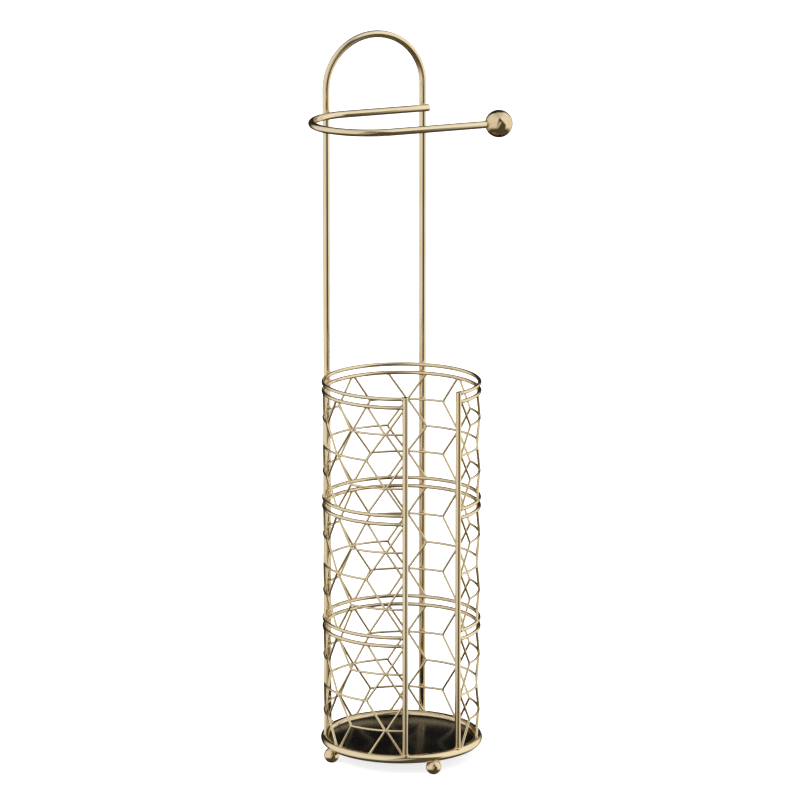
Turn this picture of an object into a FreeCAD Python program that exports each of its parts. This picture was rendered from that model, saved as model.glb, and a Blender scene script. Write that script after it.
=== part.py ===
"""Free-standing wire holder: a lattice basket with an open front slot, a tall back hoop and a level arm.

Millimetres, +Z up. The origin is on the floor under the middle of the basket.
The open slot of the basket faces -Y, the tall hoop stands at +Y and the arm points to +X.
"""

import FreeCAD, Part
import math
import os

from FreeCAD import Placement, Rotation, Vector

# Driving sizes: name, value, meaning. Lengths are millimetres and angles are degrees.
SIZES = (
    ("overall_height", 670.0, "floor to the top of the hoop"),
    ("hoop_wire", 6.5, "diameter of the hoop rod"),
    ("hoop_span", 96.8, "between the axes of the two uprights"),
    ("hoop_foot_drop", 3.0, "uprights end this far below the middle of the base ring"),
    ("arm_wire", 6.5, "diameter of the arm rod"),
    ("arm_drop", 74.0, "top of the hoop down to the axis of the arm"),
    ("arm_bend_radius", 51.0, "radius of the arm's half turn, on its axis"),
    ("arm_bend_reach", 32.0, "from the basket axis to the centre of the half turn"),
    ("ball_diameter", 25.0, "ball on the free end of the arm"),
    ("ball_reach", 73.75, "from the basket axis to the centre of the ball"),
    ("ball_bore_depth", 14.0, "blind hole in the ball for the arm"),
    ("ball_bore_clearance", 0.1, "hole diameter over arm diameter"),
    ("ring_radius", 71.5, "axis of the open basket rings"),
    ("ring_wire", 3.5, "diameter of the basket ring wire"),
    ("ring_pair_pitch", 8.0, "between the two rings of a pair"),
    ("top_pair_height", 346.5, "lower ring of the top pair"),
    ("middle_pair_height", 238.0, "lower ring of the middle pair"),
    ("bottom_pair_height", 123.3, "lower ring of the bottom pair"),
    ("slot_angle", 43.5, "open front of the basket, between post axes"),
    ("post_wire", 5.5, "diameter of the two slot posts"),
    ("base_ring_inset", 0.5, "axis of the base ring inside that of the basket rings"),
    ("base_ring_wire", 8.0, "diameter of the base ring rod"),
    ("base_ring_height", 15.8, "floor to the middle of the base ring"),
    ("plate_thickness", 2.0, "black floor plate of the basket"),
    ("plate_drop", 0.8, "plate top below the middle of the base ring"),
    ("foot_diameter", 14.0, "ball feet"),
    ("foot_flat", 0.4, "depth of the flat ground under each foot"),
    ("lattice_wire", 2.2, "diameter of the lattice wires"),
    ("lattice_bend_radius", 3.0, "bends of the zigzag wires, on their axis"),
    ("weld_gap", 0.05, "clearance left between welded pieces"),
)

# Counts of the lattice: whole column steps from the right post, and levels from ring to ring.
COLUMN_STEPS = 7
LEVELS = 4
# A zigzag's corners stand a third of a step from their column, and so does the left post from the last one.
CORNER_STEP = 1.0 / 3.0
# Azimuths run from +X, in degrees.
FRONT = -90.0
FULL_TURN = 360.0
HALF_TURN = 180.0
# Passes that settle the corners of a bent wire.
SETTLING_PASSES = 8

doc = FreeCAD.newDocument("wire_holder")
sheet = doc.addObject("Spreadsheet::Sheet", "sizes")
for row, (alias, value, meaning) in enumerate(SIZES, start=1):
    sheet.set(f"A{row}", meaning)
    sheet.set(f"B{row}", str(value))
    sheet.setAlias(f"B{row}", alias)
doc.recompute()

# Places that several pieces share, written as expressions on the sheet.
ARCH_HEIGHT = "(sizes.overall_height - sizes.hoop_wire / 2 - sizes.hoop_span / 2)"
FOOT_END = "(sizes.base_ring_height - sizes.hoop_foot_drop)"
UPRIGHT_CIRCLE = "(sizes.ring_radius + sizes.ring_wire / 2 + sizes.hoop_wire / 2 + sizes.weld_gap)"
HOOP_BACK = f"sqrt({UPRIGHT_CIRCLE}^2 - (sizes.hoop_span / 2)^2)"
ARM_HEIGHT = "(sizes.overall_height - sizes.arm_drop)"
ARM_BACK = f"({HOOP_BACK} - sizes.hoop_wire / 2 - sizes.arm_wire / 2 - sizes.weld_gap)"
ARM_FRONT = f"({ARM_BACK} - 2 * sizes.arm_bend_radius)"
ARM_TIP = "(sizes.ball_reach - sizes.ball_diameter / 2 + sizes.ball_bore_depth - sizes.weld_gap)"
BASE_RING_RADIUS = "(sizes.ring_radius - sizes.base_ring_inset)"
POST_TOP = "(sizes.top_pair_height + sizes.ring_pair_pitch + sizes.ring_wire / 2)"

ALONG_X = Rotation(Vector(0, 1, 0), 90)
ACROSS_Y = Rotation(Vector(1, 0, 0), 90)
AROUND_Z = Rotation(Vector(0, 0, 1), 0)

sub_parts = []


def size(alias):
    """Read one driving size from the sheet."""
    return float(sheet.get(alias))


def primitive(kind, name, rotation=AROUND_Z, **bindings):
    """Add one Part primitive whose properties follow expressions on the sheet."""
    solid = doc.addObject(f"Part::{kind}", name)
    solid.Placement = Placement(Vector(0, 0, 0), rotation)
    for prop, expression in bindings.items():
        solid.setExpression(prop.replace("__", "."), expression)
    return solid


def at(x="0", y="0", z="0"):
    """Bindings that place a primitive."""
    return {"Placement__Base__x": x, "Placement__Base__y": y, "Placement__Base__z": z}


def fused(name, *pieces):
    """Join solids into one, such as the runs of a bent rod."""
    solid = doc.addObject("Part::MultiFuse", name)
    solid.Shapes = list(pieces)
    solid.Refine = True
    return solid


def cut(name, base, tool):
    """Cut the tool away from the base."""
    solid = doc.addObject("Part::Cut", name)
    solid.Base = base
    solid.Tool = tool
    return solid


def sub_part(solid, label):
    """Name a finished sub-part."""
    solid.Label = label
    sub_parts.append(solid)
    return solid


def shaped_part(label, solids):
    """Add a sub-part whose wires are worked out by formula."""
    feature = doc.addObject("Part::Feature", label)
    feature.Shape = Part.makeCompound(solids)
    feature.Placement = Placement()
    return sub_part(feature, label)


def post_axis(side):
    """Expressions for the plan position of a slot post, side -1 for left and 1 for right."""
    x = f"{side} * sizes.ring_radius * sin(sizes.slot_angle / 2)"
    y = "-sizes.ring_radius * cos(sizes.slot_angle / 2)"
    return x, y


def build_base():
    """Closed base ring, its floor plate, and the space that pieces welded to the ring leave for it."""
    ring = primitive(
        "Torus", "base_ring_rod",
        Radius1=BASE_RING_RADIUS, Radius2="sizes.base_ring_wire / 2",
        **at(z="sizes.base_ring_height"),
    )
    sub_part(ring, "base_ring")
    seat = primitive(
        "Torus", "base_ring_seat",
        Radius1=BASE_RING_RADIUS, Radius2="sizes.base_ring_wire / 2 + sizes.weld_gap",
        **at(z="sizes.base_ring_height"),
    )
    disc = primitive(
        "Cylinder", "plate_disc",
        Radius=BASE_RING_RADIUS, Height="sizes.plate_thickness",
        **at(z="sizes.base_ring_height - sizes.plate_drop - sizes.plate_thickness"),
    )
    sub_part(cut("plate_seated", disc, seat), "base_plate")
    return seat


def build_feet(ring_seat):
    """Four balls under the base ring, hollowed to its rod and ground flat underneath."""
    sides = {"front": (0, -1), "right": (1, 0), "back": (0, 1), "left": (-1, 0)}
    middle = "(sizes.foot_diameter / 2 - sizes.foot_flat)"
    for side, (x, y) in sides.items():
        ball = primitive(
            "Sphere", f"foot_ball_{side}",
            Radius="sizes.foot_diameter / 2",
            Angle1=f"-asin({middle} / (sizes.foot_diameter / 2))",
            **at(f"{x} * {BASE_RING_RADIUS}", f"{y} * {BASE_RING_RADIUS}", middle),
        )
        sub_part(cut(f"foot_seated_{side}", ball, ring_seat), f"foot_{side}")


def build_hoop(ring_seat):
    """Inverted U at the back: two uprights and a half-turn arch, notched where they pass the base ring."""
    uprights = [
        primitive(
            "Cylinder", f"upright_{side}",
            Radius="sizes.hoop_wire / 2", Height=f"{ARCH_HEIGHT} - {FOOT_END}",
            **at(f"{sign} * sizes.hoop_span / 2", HOOP_BACK, FOOT_END),
        )
        for side, sign in (("left", -1), ("right", 1))
    ]
    arch = primitive(
        "Torus", "arch", ACROSS_Y,
        Radius1="sizes.hoop_span / 2", Radius2="sizes.hoop_wire / 2", Angle3=f"{HALF_TURN}",
        **at(y=HOOP_BACK, z=ARCH_HEIGHT),
    )
    rod = fused("hoop_rod", arch, *uprights)
    sub_part(cut("hoop_notched", rod, ring_seat), "upright_hoop")


def build_arm():
    """Level hairpin rod: welded to the right upright, turned at the left, with a ball on its free end."""
    start = "-sizes.arm_bend_reach"
    weld_end = "(sizes.hoop_span / 2 + sizes.hoop_wire / 2)"
    back_leg = primitive(
        "Cylinder", "arm_back_leg", ALONG_X,
        Radius="sizes.arm_wire / 2", Height=f"{weld_end} - {start}",
        **at(start, ARM_BACK, ARM_HEIGHT),
    )
    front_leg = primitive(
        "Cylinder", "arm_front_leg", ALONG_X,
        Radius="sizes.arm_wire / 2", Height=f"{ARM_TIP} - {start}",
        **at(start, ARM_FRONT, ARM_HEIGHT),
    )
    turn = primitive(
        "Torus", "arm_turn", Rotation(Vector(0, 0, 1), 90),
        Radius1="sizes.arm_bend_radius", Radius2="sizes.arm_wire / 2", Angle3=f"{HALF_TURN}",
        **at(start, f"{ARM_BACK} - sizes.arm_bend_radius", ARM_HEIGHT),
    )
    sub_part(fused("arm_rod", turn, back_leg, front_leg), "roll_arm")

    ball = primitive(
        "Sphere", "ball_blank",
        Radius="sizes.ball_diameter / 2",
        **at("sizes.ball_reach", ARM_FRONT, ARM_HEIGHT),
    )
    bore = primitive(
        "Cylinder", "ball_bore", ALONG_X,
        Radius="sizes.arm_wire / 2 + sizes.ball_bore_clearance / 2",
        Height="sizes.ball_bore_depth",
        **at("sizes.ball_reach - sizes.ball_diameter / 2", ARM_FRONT, ARM_HEIGHT),
    )
    sub_part(cut("ball_bored", ball, bore), "arm_end_ball")


def build_posts(ring_seat):
    """Two posts that edge the slot, hollowed at the foot to the base ring."""
    clearances = []
    for side, sign in (("left", -1), ("right", 1)):
        x, y = post_axis(sign)
        post = primitive(
            "Cylinder", f"post_{side}",
            Radius="sizes.post_wire / 2", Height=f"{POST_TOP} - sizes.base_ring_height",
            **at(x, y, "sizes.base_ring_height"),
        )
        sub_part(cut(f"post_seated_{side}", post, ring_seat), f"slot_post_{side}")
        clearances.append(primitive(
            "Cylinder", f"post_clearance_{side}",
            Radius="sizes.post_wire / 2 + sizes.weld_gap", Height="sizes.overall_height",
            **at(x, y),
        ))
    return fused("post_clearance", *clearances)


def build_rings(post_clearance):
    """Three pairs of open rings that end on the posts."""
    for pair in ("top", "middle", "bottom"):
        for place, lift in (("lower", 0), ("upper", 1)):
            ring = primitive(
                "Torus", f"{pair}_{place}_wire",
                Radius1="sizes.ring_radius", Radius2="sizes.ring_wire / 2",
                Angle3=f"{FULL_TURN} - sizes.slot_angle",
                Placement__Rotation__Angle=f"{FRONT} + sizes.slot_angle / 2",
                **at(z=f"sizes.{pair}_pair_height + {lift} * sizes.ring_pair_pitch"),
            )
            sub_part(cut(f"{pair}_{place}_seated", ring, post_clearance), f"{pair}_{place}_ring")


def bend(before, corner, after, radius):
    """Start, middle and end of the tangent arc that rounds a corner."""
    to_before = (before - corner).normalize()
    to_after = (after - corner).normalize()
    half_angle = to_before.getAngle(to_after) / 2
    reach = radius / math.tan(half_angle)
    inward = (to_before + to_after).normalize()
    middle = corner + inward * (radius / math.sin(half_angle) - radius)
    return corner + to_before * reach, middle, corner + to_after * reach


def bend_corners(points, radius):
    """Corners that lie outside the bends, so that the middle of each bend passes its point."""
    corners = list(points)
    for _ in range(SETTLING_PASSES):
        for place in range(1, len(points) - 1):
            _, middle, _ = bend(corners[place - 1], corners[place], corners[place + 1], radius)
            corners[place] = corners[place] + points[place] - middle
    return corners


def bent_wire(points, diameter, bend_radius):
    """One round wire through the points, with a tangent bend at each inner point."""
    corners = bend_corners(points, bend_radius)
    edges = []
    start = corners[0]
    for before, corner, after in zip(corners, corners[1:], corners[2:]):
        enter, middle, leave = bend(before, corner, after, bend_radius)
        edges.append(Part.LineSegment(start, enter).toShape())
        edges.append(Part.Arc(enter, middle, leave).toShape())
        start = leave
    edges.append(Part.LineSegment(start, corners[-1]).toShape())
    section = Part.Circle(corners[0], corners[1] - corners[0], diameter / 2).toShape()
    return Part.Wire(edges).makePipeShell([Part.Wire(section)], True, False)


class Lattice:
    """Zigzag wires and rungs of one tier, on the cylinder of the basket rings.

    Columns of star points are numbered from the right post. Even columns have stars at levels
    0, 2 and 4 and odd ones at levels 1 and 3. Two zigzags touch at each star and reach a third of a
    column step away from it, and level rungs join the zigzags of neighbouring columns.
    """

    def __init__(self, tier, bottom_axis, bottom_wire, top_axis, top_wire):
        self.tier = tier
        self.bottom = bottom_axis
        self.top = top_axis
        self.radius = size("ring_radius")
        self.wire = size("lattice_wire")
        self.bend = size("lattice_bend_radius")
        self.gap = size("weld_gap")
        self.first = FRONT + size("slot_angle") / 2
        self.step = (FULL_TURN - size("slot_angle")) / (COLUMN_STEPS + CORNER_STEP)
        floor = bottom_axis + bottom_wire / 2 + self.gap
        roof = top_axis - top_wire / 2 - self.gap
        self.room = Part.makeCylinder(self.radius + self.wire, roof - floor, Vector(0, 0, floor))

    def degrees(self, length):
        return math.degrees(length / self.radius)

    def point(self, azimuth, level):
        turn = math.radians(azimuth)
        z = self.bottom + (self.top - self.bottom) * level / LEVELS
        return Vector(self.radius * math.cos(turn), self.radius * math.sin(turn), z)

    def is_star(self, column, level):
        return (column + level) % 2 == 0

    def star_offset(self, column):
        """Distance from a column to the axis of a zigzag at its star: half a wire, or clear of the post."""
        if column == 0:
            return size("post_wire") / 2 + self.wire / 2 + self.gap
        return self.wire / 2 + self.gap / 2

    def azimuth(self, column, side, level):
        """Where the axis of a zigzag passes a level, side -1 or 1 of its column."""
        if self.is_star(column, level):
            offset = self.degrees(self.star_offset(column))
        else:
            offset = self.step * CORNER_STEP
        return self.first + column * self.step + side * offset

    def zigzag(self, column, side):
        """Wire from ring to ring on one side of a column, bent at every level between them."""
        points = [
            self.point(self.azimuth(column, side, level), level)
            for level in range(LEVELS + 1)
        ]
        return bent_wire(points, self.wire, self.bend).common(self.room).Solids[0]

    def rung_setback(self, column, level):
        """From the axis of a zigzag to the end of a rung, which lies inside the bend at a star."""
        setback = self.wire / 2 + self.gap
        if self.is_star(column, level):
            inside = self.bend - self.wire / 2
            setback += inside - math.sqrt(max(inside ** 2 - (self.wire / 2) ** 2, 0))
        return self.degrees(setback)

    def arc(self, start, end, level):
        """Level wire along the cylinder between two azimuths."""
        z = self.point(start, level).z
        wire = Part.makeTorus(
            self.radius, self.wire / 2, Vector(0, 0, z), Vector(0, 0, 1), 0, FULL_TURN, end - start
        )
        wire.rotate(Vector(0, 0, z), Vector(0, 0, 1), start)
        return wire

    def rung(self, column, level):
        start = self.azimuth(column, 1, level) + self.rung_setback(column, level)
        end = self.azimuth(column + 1, -1, level) - self.rung_setback(column + 1, level)
        return self.arc(start, end, level)

    def ladder(self, column):
        """Two like zigzags of neighbouring columns and the rungs between them."""
        solids = [self.zigzag(column, 1), self.zigzag(column + 1, -1)]
        solids += [self.rung(column, level) for level in range(1, LEVELS)]
        return shaped_part(f"{self.tier}_ladder_{column + 1}", solids)

    def end_wires(self):
        """Bent wires and short rungs from the last column to the left post."""
        post_azimuth = self.first + (COLUMN_STEPS + CORNER_STEP) * self.step
        foot = self.point(post_azimuth, 0)
        post_room = Part.makeCylinder(
            size("post_wire") / 2 + self.gap, self.top - self.bottom, foot
        )
        post_setback = self.degrees(size("post_wire") / 2 + self.gap)
        solids = []
        for level in range(1, LEVELS, 2):
            star_azimuth = self.azimuth(COLUMN_STEPS, 1, level)
            points = [
                self.point(post_azimuth, level - 1),
                self.point(star_azimuth, level),
                self.point(post_azimuth, level + 1),
            ]
            wire = bent_wire(points, self.wire, self.bend).common(self.room)
            solids.append(wire.cut(post_room).Solids[0])
            start = star_azimuth + self.rung_setback(COLUMN_STEPS, level)
            solids.append(self.arc(start, post_azimuth - post_setback, level))
        return shaped_part(f"{self.tier}_end_wires", solids)


def build_lattice():
    """Three tiers of lattice: each fills the height between one ring pair and what stands below it."""
    pairs = ("bottom", "middle", "top")
    below = size("base_ring_height")
    below_wire = size("base_ring_wire")
    for tier in pairs:
        top = size(f"{tier}_pair_height")
        lattice = Lattice(tier, below, below_wire, top, size("ring_wire"))
        for column in range(COLUMN_STEPS):
            lattice.ladder(column)
        lattice.end_wires()
        below = top + size("ring_pair_pitch")
        below_wire = size("ring_wire")


def check():
    """Stop if any object failed or any sub-part has no sound solid."""
    for item in doc.Objects:
        if "Invalid" in item.State or "Error" in item.State:
            raise RuntimeError(f"{item.Label} failed: {item.State}")
    for item in sub_parts:
        if item.Shape.isNull() or not item.Shape.isValid() or not item.Shape.Solids:
            raise RuntimeError(f"{item.Label} has no valid solid")


def main():
    ring_seat = build_base()
    build_feet(ring_seat)
    build_hoop(ring_seat)
    build_arm()
    build_rings(build_posts(ring_seat))
    build_lattice()
    doc.recompute()
    check()
    os.makedirs("parts", exist_ok=True)
    for item in sub_parts:
        item.Shape.exportStep(f"parts/{item.Label}.step")
        print(item.Label, len(item.Shape.Solids), round(item.Shape.Volume, 1))


main()
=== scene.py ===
"""Looks of a free-standing wire holder: a lattice basket, a tall hoop and a level arm with a ball end.

The file is laid out as an add-on and run as a script. Metres, +Z up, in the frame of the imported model:
the open slot of the basket faces -Y, the hoop stands at +Y and the arm points to +X.
"""

import math

import bpy
from bpy.props import FloatProperty, FloatVectorProperty, IntProperty, PointerProperty
from mathutils import Matrix, Vector


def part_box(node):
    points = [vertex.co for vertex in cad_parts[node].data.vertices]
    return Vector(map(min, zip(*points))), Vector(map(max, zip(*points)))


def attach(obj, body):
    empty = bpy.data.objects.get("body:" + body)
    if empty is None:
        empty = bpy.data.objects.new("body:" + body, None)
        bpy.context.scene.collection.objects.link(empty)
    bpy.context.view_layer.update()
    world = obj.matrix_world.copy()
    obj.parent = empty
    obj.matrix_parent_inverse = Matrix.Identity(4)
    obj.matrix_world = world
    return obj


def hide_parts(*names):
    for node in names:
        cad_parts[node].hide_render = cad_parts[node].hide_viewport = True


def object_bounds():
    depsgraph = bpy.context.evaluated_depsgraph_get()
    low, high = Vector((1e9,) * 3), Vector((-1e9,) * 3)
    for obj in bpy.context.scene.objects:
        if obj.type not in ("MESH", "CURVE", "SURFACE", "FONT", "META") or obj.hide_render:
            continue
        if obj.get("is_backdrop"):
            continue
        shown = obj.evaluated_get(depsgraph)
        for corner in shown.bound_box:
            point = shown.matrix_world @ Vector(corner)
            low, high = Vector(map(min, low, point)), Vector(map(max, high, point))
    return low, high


bl_info = {
    "name": "Wire basket holder",
    "version": (1, 0, 0),
    "blender": (4, 5, 0),
    "location": "View3D > Sidebar > Wire holder",
    "description": "Models the polished wire basket holder around its packed frame",
    "category": "Object",
}

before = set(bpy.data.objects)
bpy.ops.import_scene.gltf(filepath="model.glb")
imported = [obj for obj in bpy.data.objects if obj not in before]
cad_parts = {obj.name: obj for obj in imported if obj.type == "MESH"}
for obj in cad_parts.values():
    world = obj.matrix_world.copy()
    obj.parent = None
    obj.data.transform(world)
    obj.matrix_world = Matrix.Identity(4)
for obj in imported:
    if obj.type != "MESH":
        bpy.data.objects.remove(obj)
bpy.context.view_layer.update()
BODY = "root"
GOLD_SLOT = "gold_wire"
BLACK_SLOT = "black_plate"
TIERS = ("bottom", "middle", "top")
BELOW = {"bottom": "base_ring", "middle": "bottom_upper_ring", "top": "middle_upper_ring"}
PLACES = ("lower", "upper")
SIDES = ("left", "right")
FEET = ("front", "right", "back", "left")
MM = 0.001
MERGE_DISTANCE = 0.01 * MM
CREASE_ANGLE = math.radians(40)
WHITE = (1.0, 1.0, 1.0, 1.0)
SETTLING_PASSES = 8

# Sides of the round sections and steps of the bends, by how large they show.
ROD_SIDES = 40
ROD_BEND_STEPS = 72
POST_SIDES = 36
RING_SIDES = 28
RING_STEPS = 160
BASE_STEPS = 192
LATTICE_SIDES = 14
LATTICE_BEND_STEPS = 6
RUNG_STEPS = 8
BALL_SEGMENTS = 64
BALL_RINGS = 40
FOOT_SEGMENTS = 48
FOOT_RINGS = 28
PLATE_SIDES = 160
EDGE_SEGMENTS = 3
FLOOR_SIDES = 96


def extent(node):
    """Size of a node's box."""
    low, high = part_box(node)
    return high - low


def middle(node):
    """Middle of a node's box."""
    low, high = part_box(node)
    return (low + high) / 2


def length(name, description, default):
    """A size in metres that a user may change."""
    return FloatProperty(
        name=name, description=description, default=default, min=0.0, unit="LENGTH", precision=5
    )


def weld_size(name, description, tangential, radial, vertical):
    """Half sizes of a weld in millimetres, round the basket, away from its axis and upwards."""
    default = (tangential * MM, radial * MM, vertical * MM)
    return FloatVectorProperty(
        name=name, description=description, default=default,
        min=0.0, unit="LENGTH", subtype="XYZ", precision=5,
    )


def colour(name, description, default):
    """A linear colour that a user may change."""
    return FloatVectorProperty(
        name=name, description=description, default=default, size=3, min=0.0, max=1.0, subtype="COLOR"
    )


def angle(name, description, degrees):
    """An angle that a user may change."""
    return FloatProperty(name=name, description=description, default=math.radians(degrees), subtype="ANGLE")


def share(name, description, default, top=1.0):
    """A plain factor that a user may change."""
    return FloatProperty(
        name=name, description=description, default=default, min=0.0, max=top, subtype="FACTOR"
    )


class HolderSizes(bpy.types.PropertyGroup):
    """Sections of the rods and wires, and the small forms that Blender adds to them."""

    hoop_rod: length("Hoop rod", "Diameter of the hoop rod", extent("upright_hoop").y)
    arm_rod: length("Arm rod", "Diameter of the arm rod", extent("roll_arm").z)
    ring_wire: length("Ring wire", "Diameter of the basket rings", extent("top_upper_ring").z)
    post_wire: length("Post wire", "Diameter of the slot posts", extent("slot_post_left").x)
    base_rod: length("Base rod", "Diameter of the base ring", extent("base_ring").z)
    lattice_wire: length("Lattice wire", "Diameter of the lattice wires", 2.2 * MM)
    lattice_bend: length("Lattice bend", "Radius of a lattice bend on its axis", 3.0 * MM)
    bore_clearance: length("Bore clearance", "Hole diameter in the ball over the arm's diameter", 0.1 * MM)
    bore_depth: length("Bore depth", "Depth of the hole that takes the arm", 14.0 * MM)
    bore_lead: length("Bore lead-in", "Depth of the chamfer at the mouth of the hole", 0.4 * MM)
    end_round: length("End rounding", "Rounding of the cut ends of the rods", 0.6 * MM)
    plate_round: length("Plate rounding", "Rounding of the rim of the floor plate", 0.5 * MM)
    foot_flat: length("Foot flat", "Height ground off a ball foot", 0.4 * MM)
    foot_round: length("Foot rounding", "Rounding of the ground edge of a foot", 0.25 * MM)
    star_weld: weld_size("Star weld", "Where two zigzags meet", 1.75, 1.4, 1.75)
    corner_weld: weld_size("Corner weld", "Where a rung meets a zigzag's corner", 1.35, 1.2, 1.3)
    wire_foot_weld: weld_size("Wire foot weld", "Where a lattice wire stands on a ring", 1.9, 1.45, 0.95)
    ring_end_weld: weld_size("Ring end weld", "Where a ring ends on a post", 1.5, 2.45, 2.45)
    post_foot_weld: weld_size("Post foot weld", "Where a post stands on the base ring", 3.8, 3.5, 1.4)
    hoop_weld: weld_size("Hoop weld", "Where a ring crosses an upright", 2.6, 1.5, 2.6)
    hoop_foot_weld: weld_size("Hoop foot weld", "Where an upright stands on the base ring", 2.8, 2.6, 2.0)
    foot_weld: weld_size("Foot weld", "Where a ball foot meets the base ring", 4.3, 4.1, 1.2)
    arm_weld: weld_size("Arm weld", "Where the arm meets the right upright", 3.3, 1.5, 3.3)
    column_steps: IntProperty(name="Column steps", description="Whole steps of the lattice", default=7, min=1)
    levels: IntProperty(name="Levels", description="Rows of the lattice in one tier", default=4, min=2)
    corner_share: share("Corner share", "Part of a column step from a star to a corner", 1.0 / 3.0)


class HolderColours(bpy.types.PropertyGroup):
    """Colours of the finishes, as linear values."""

    gold: colour("Gold", "Main tone of the plating", (0.84, 0.72, 0.50))
    gold_warm: colour("Warm gold", "Deeper tone of the plating", (0.80, 0.66, 0.42))
    # The weld gold is also the darker tone of the painted shade on the ball feet and the end ball.
    gold_weld: colour("Weld gold", "Plating over the welds", (0.73, 0.58, 0.37))
    gold_edge: colour("Gold edge", "Tint of the plating at a glancing angle", (0.93, 0.85, 0.71))
    black: colour("Black", "Enamel of the floor plate", (0.003, 0.0026, 0.0022))
    black_dust: colour("Dusty black", "Thin haze on the enamel", (0.008, 0.007, 0.006))
    floor: colour("Floor", "Pale floor", (0.86, 0.86, 0.86))
    dark_surround: colour("Dark surround", "Dark parts of the studio in the metal", (0.10, 0.08, 0.048))


class HolderStage(bpy.types.PropertyGroup):
    """Camera, lamps, and the studio that the metal shows, with azimuths to the camera's right."""

    azimuth: angle("Azimuth", "Turn of the camera from the front, to the left", 24.47)
    elevation: angle("Elevation", "Rise of the camera above the level", 13.32)
    distance: length("Distance", "From the camera to its aim", 4.396)
    lens: FloatProperty(name="Lens", description="Focal length in millimetres", default=216.2, min=1.0)
    aim_height: length("Aim height", "Height of the point that the camera is fitted to", 0.335)
    aim_left: length("Aim shift left", "Shift of the aim to the camera's left", 1.4 * MM)
    aim_up: length("Aim shift up", "Shift of the aim upwards", 2.0 * MM)
    floor_radius: length("Floor radius", "Radius of the floor", 12.0)
    floor_lift: share("Floor lift", "White that the camera sees on the floor besides the lit colour", 0.78)
    world_light: share("World light", "Even light from all round", 0.75, top=10.0)
    lamp_power: FloatProperty(name="Lamp power", description="Watts of each soft lamp", default=40.0, min=0.0)
    key_size: length("Key lamp size", "Side of the lamp at the camera's left", 1.8)
    top_size: length("Top lamp size", "Side of the lamp overhead", 2.2)
    box_light: share("Soft box light", "Brightness of the right soft box in the metal", 1.06, top=10.0)
    left_share: share("Left box", "Brightness of the left soft box beside the right one", 0.84)
    overhead_share: share("Overhead", "Brightness overhead beside the soft boxes", 0.7)
    gap_top: angle("Gap top", "Elevation where the gap between the soft boxes closes", 58.0)
    gap_right: angle("Gap right", "Widest reach of the gap to the right", 60.0)
    gap_left: angle("Gap left", "Widest reach of the gap to the left", 20.0)
    slit_half: angle("Slit", "Half the width of the bright slit in the gap", 10.0)
    slit_top: angle("Slit top", "Elevation where the slit ends", 20.0)
    slit_light: share("Slit light", "Brightness of the slit", 0.55)
    ground_edge: angle("Ground edge", "Elevation below which the ground is dark", -30.0)
    back_left: angle("Back left", "Azimuth from which the back is dark on the left", 135.0)
    back_right: angle("Back right", "Azimuth from which the back is dark on the right", 150.0)
    back_top: angle("Back top", "Elevation where the dark back ends", 65.0)
    back_light: share("Back light", "Brightness of the back", 0.03)
    soft_edge: angle("Soft edge", "Softness of the edges of the boxes", 8.0)
    soft_back: angle("Soft back", "Softness of the edges of the ground and the back", 12.0)


def sizes():
    return bpy.context.scene.holder_sizes


def colours():
    return bpy.context.scene.holder_colours


def stage():
    return bpy.context.scene.holder_stage


def clear_selection():
    """Leave edit mode with nothing selected, so that an operator acts on the new piece alone."""
    if bpy.context.object is not None and bpy.context.object.mode != "OBJECT":
        bpy.ops.object.mode_set(mode="OBJECT")
    bpy.ops.object.select_all(action="DESELECT")


def begin_edit():
    """Enter edit mode on the new primitive with its place in its mesh and all of it selected."""
    bpy.ops.object.transform_apply(location=True, rotation=True, scale=True)
    bpy.ops.object.mode_set(mode="EDIT")
    bpy.ops.mesh.select_mode(type="VERT")
    bpy.ops.mesh.select_all(action="SELECT")
    return bpy.context.object


def select_vertices(piece, wanted):
    """Select in edit mode the vertices whose place satisfies a test, and what they bound."""
    bpy.ops.mesh.select_mode(type="VERT")
    bpy.ops.mesh.select_all(action="DESELECT")
    bpy.ops.object.mode_set(mode="OBJECT")
    for vertex in piece.data.vertices:
        vertex.select = wanted(vertex.co)
    bpy.ops.object.mode_set(mode="EDIT")


def smooth(piece):
    """Smooth shading that keeps cut ends crisp."""
    clear_selection()
    piece.select_set(True)
    bpy.context.view_layer.objects.active = piece
    bpy.ops.object.shade_smooth_by_angle(angle=CREASE_ANGLE)


def dress(piece, name, material, *nodes, slot=GOLD_SLOT):
    """Name a finished piece, give it its finish and put it in the place of its nodes."""
    piece.name = name
    piece.data.name = name
    piece.data.materials.clear()
    piece.data.materials.append(material)
    smooth(piece)
    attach(piece, BODY)
    if nodes:
        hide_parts(*nodes)
    return piece


def joined(pieces):
    """One object from several."""
    clear_selection()
    for piece in pieces:
        piece.select_set(True)
    bpy.context.view_layer.objects.active = pieces[0]
    bpy.ops.object.join()
    return pieces[0]


def copied(source, place):
    """A copy with its own mesh, moved by a matrix that goes into the mesh."""
    copy = source.copy()
    copy.data = source.data.copy()
    copy.data.transform(place)
    bpy.context.scene.collection.objects.link(copy)
    return copy


def bend_at(before, corner, after, radius):
    """Entry, middle, centre, axis and angle of the tangent arc that rounds a corner."""
    to_before = (before - corner).normalized()
    to_after = (after - corner).normalized()
    half_angle = to_before.angle(to_after) / 2
    inward = (to_before + to_after).normalized()
    centre = corner + inward * radius / math.sin(half_angle)
    return {
        "enter": corner + to_before * radius / math.tan(half_angle),
        "middle": centre - inward * radius,
        "centre": centre,
        "axis": to_after.cross(to_before).normalized(),
        "angle": math.pi - 2 * half_angle,
    }


def bend_corners(points, radius):
    """Corners that lie outside the bends, so that the middle of each bend passes its point."""
    corners = list(points)
    for _ in range(SETTLING_PASSES):
        for place in range(1, len(points) - 1):
            arc = bend_at(corners[place - 1], corners[place], corners[place + 1], radius)
            corners[place] = corners[place] + points[place] - arc["middle"]
    return corners


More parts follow.
